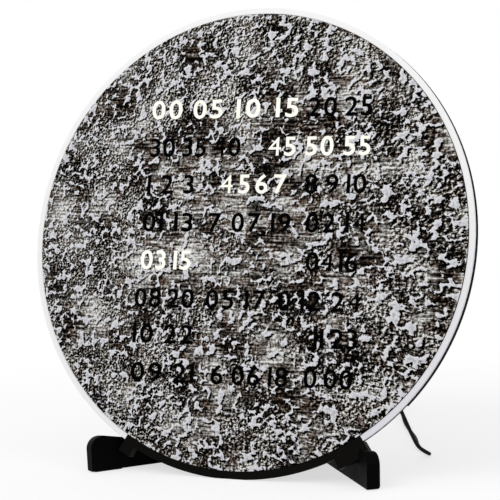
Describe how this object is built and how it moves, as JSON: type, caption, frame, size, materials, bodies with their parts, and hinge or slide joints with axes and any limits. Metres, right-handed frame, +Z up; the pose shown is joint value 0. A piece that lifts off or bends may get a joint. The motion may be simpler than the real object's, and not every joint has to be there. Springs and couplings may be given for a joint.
{
  "type": "word clock",
  "caption": "Round table clock that shows the time by lighting groups of numbers in a stone-look disc with a white ring, on two black wedge legs.",
  "frame": {"origin": "on the table, under the middle of the clock's width and depth, power lead left out", "axes": "+X to the right seen from the front, +Y to the back, +Z up; the face looks towards -Y and leans back 13 degrees"},
  "size_m": [0.45, 0.4305, 0.4401],
  "materials": {
    "stone_print": "satin",
    "white_acrylic": "satin",
    "black_plastic": "satin",
    "chin_plastic": "satin",
    "leg_black": "satin",
    "circuit_board": "satin",
    "lamp_white": "satin",
    "chip_black": "satin",
    "can_aluminium": "satin",
    "cell_steel": "satin",
    "screw_steel": "satin",
    "bracket_black": "satin",
    "hanger_steel": "satin",
    "pad_rubber": "matte",
    "lead_rubber": "satin",
    "tie_fabric": "matte"
  },
  "bodies": {
    "clock": {"face_plate": "stone_print", "diffuser_sheet": "white_acrylic", "glow_ring": "white_acrylic", "back_frame": "black_plastic", "light_grid": "black_plastic", "led_board": "circuit_board", "leds": "lamp_white", "board_spacers": "black_plastic", "controller_board": "circuit_board", "controller_chip": "chip_black", "capacitor": "can_aluminium", "cell_holder": "chip_black", "coin_cell": "cell_steel", "button_board": "circuit_board", "push_switches": "chip_black", "board_screws": "screw_steel", "rear_housing": "black_plastic", "flange_screws": "screw_steel", "spacer_screws": "screw_steel", "dc_jack": "chip_black", "hanger_plate": "hanger_steel", "hanger_screws": "screw_steel", "leg_left": "leg_black", "leg_right": "leg_black", "leg_pads": "pad_rubber", "chin": "chin_plastic", "chin_screws": "screw_steel", "stand_bracket": "bracket_black", "bracket_screws": "screw_steel", "leg_screws": "screw_steel", "dc_plug": "lead_rubber", "strain_relief": "lead_rubber", "cord": "lead_rubber", "cord_coil": "lead_rubber", "cord_tail": "lead_rubber", "coil_tie": "tie_fabric", "usb_plug": "lead_rubber", "usb_shell": "screw_steel"},
    "hour_button_body": {"hour_button": "black_plastic"},
    "minute_button_body": {"minute_button": "black_plastic"},
    "brightness_button_body": {"brightness_button": "black_plastic"}
  },
  "joints": [
    {"name": "hour_button_press", "type": "slide", "parent": "clock", "child": "hour_button_body", "axis": [0, -0.9744, 0.225], "range_m": [0, 0.0012], "stiffness_N_per_m": 600},
    {"name": "minute_button_press", "type": "slide", "parent": "clock", "child": "minute_button_body", "axis": [0, -0.9744, 0.225], "range_m": [0, 0.0012], "stiffness_N_per_m": 600},
    {"name": "brightness_button_press", "type": "slide", "parent": "clock", "child": "brightness_button_body", "axis": [0, -0.9744, 0.225], "range_m": [0, 0.0012], "stiffness_N_per_m": 600}
  ]
}
